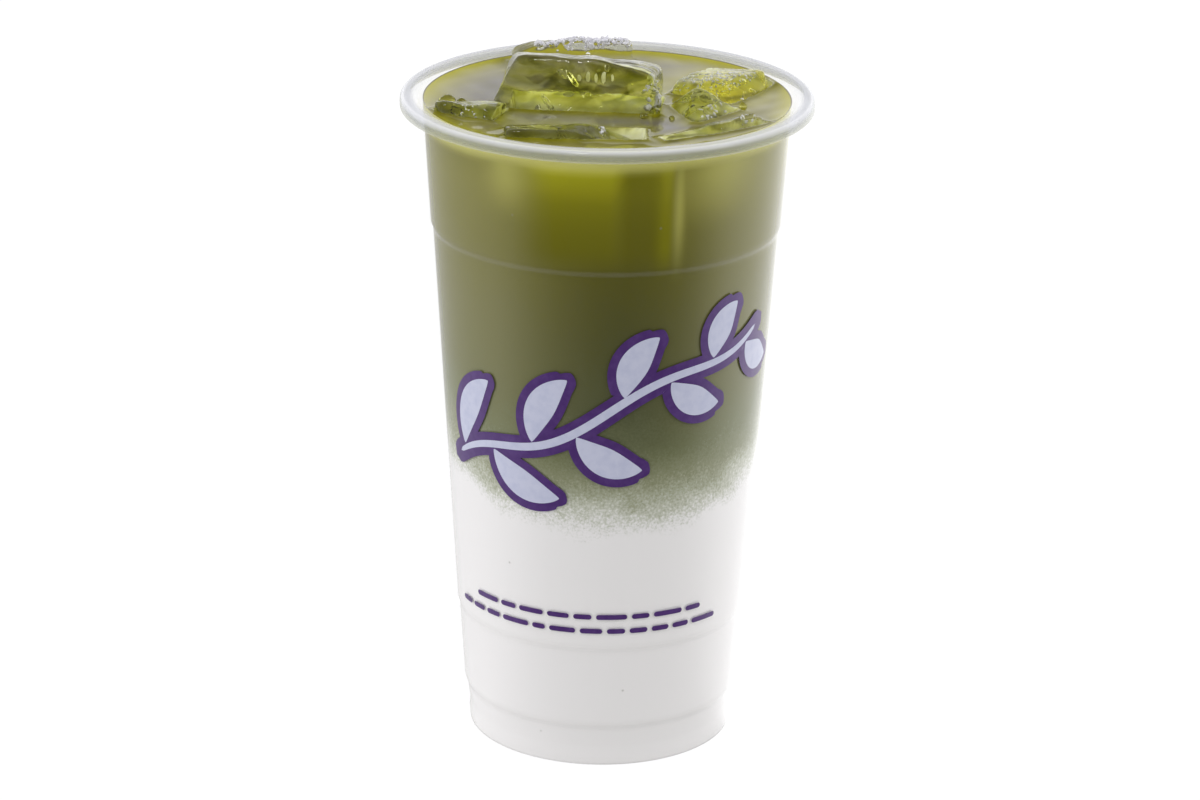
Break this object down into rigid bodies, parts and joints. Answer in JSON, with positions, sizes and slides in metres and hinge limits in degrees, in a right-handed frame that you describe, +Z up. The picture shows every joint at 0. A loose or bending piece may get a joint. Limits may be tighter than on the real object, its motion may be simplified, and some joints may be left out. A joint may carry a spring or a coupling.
{
  "type": "iced matcha latte in a plastic cup",
  "caption": "Tall tapered clear plastic cup with a rolled rim, filled with layered green tea over white milk, with blocks of ice standing out of the surface.",
  "frame": {"origin": "middle of the foot, on the surface the cup stands on", "axes": "+Z up along the cup's axis; the printed side faces -Y"},
  "size_m": [0.095, 0.095, 0.1653],
  "materials": {
    "cup_plastic": "clear moulded polypropylene with a slight milky haze, satin outside",
    "milk": "opaque white liquid, smooth and wet",
    "green_tea": "opaque olive green liquid, still and glossy on top",
    "ice": "clear wet ice, worn smooth, with bubbles and cracks inside",
    "print": "flat printing ink"
  },
  "bodies": {
    "root": {"cup": "cup_plastic", "milk": "milk", "matcha": "green_tea", "ice_middle": "ice", "ice_back": "ice", "ice_left": "ice", "ice_front": "ice", "ice_right": "ice", "ice_tip": "ice", "ice_edge": "ice"}
  },
  "joints": []
}
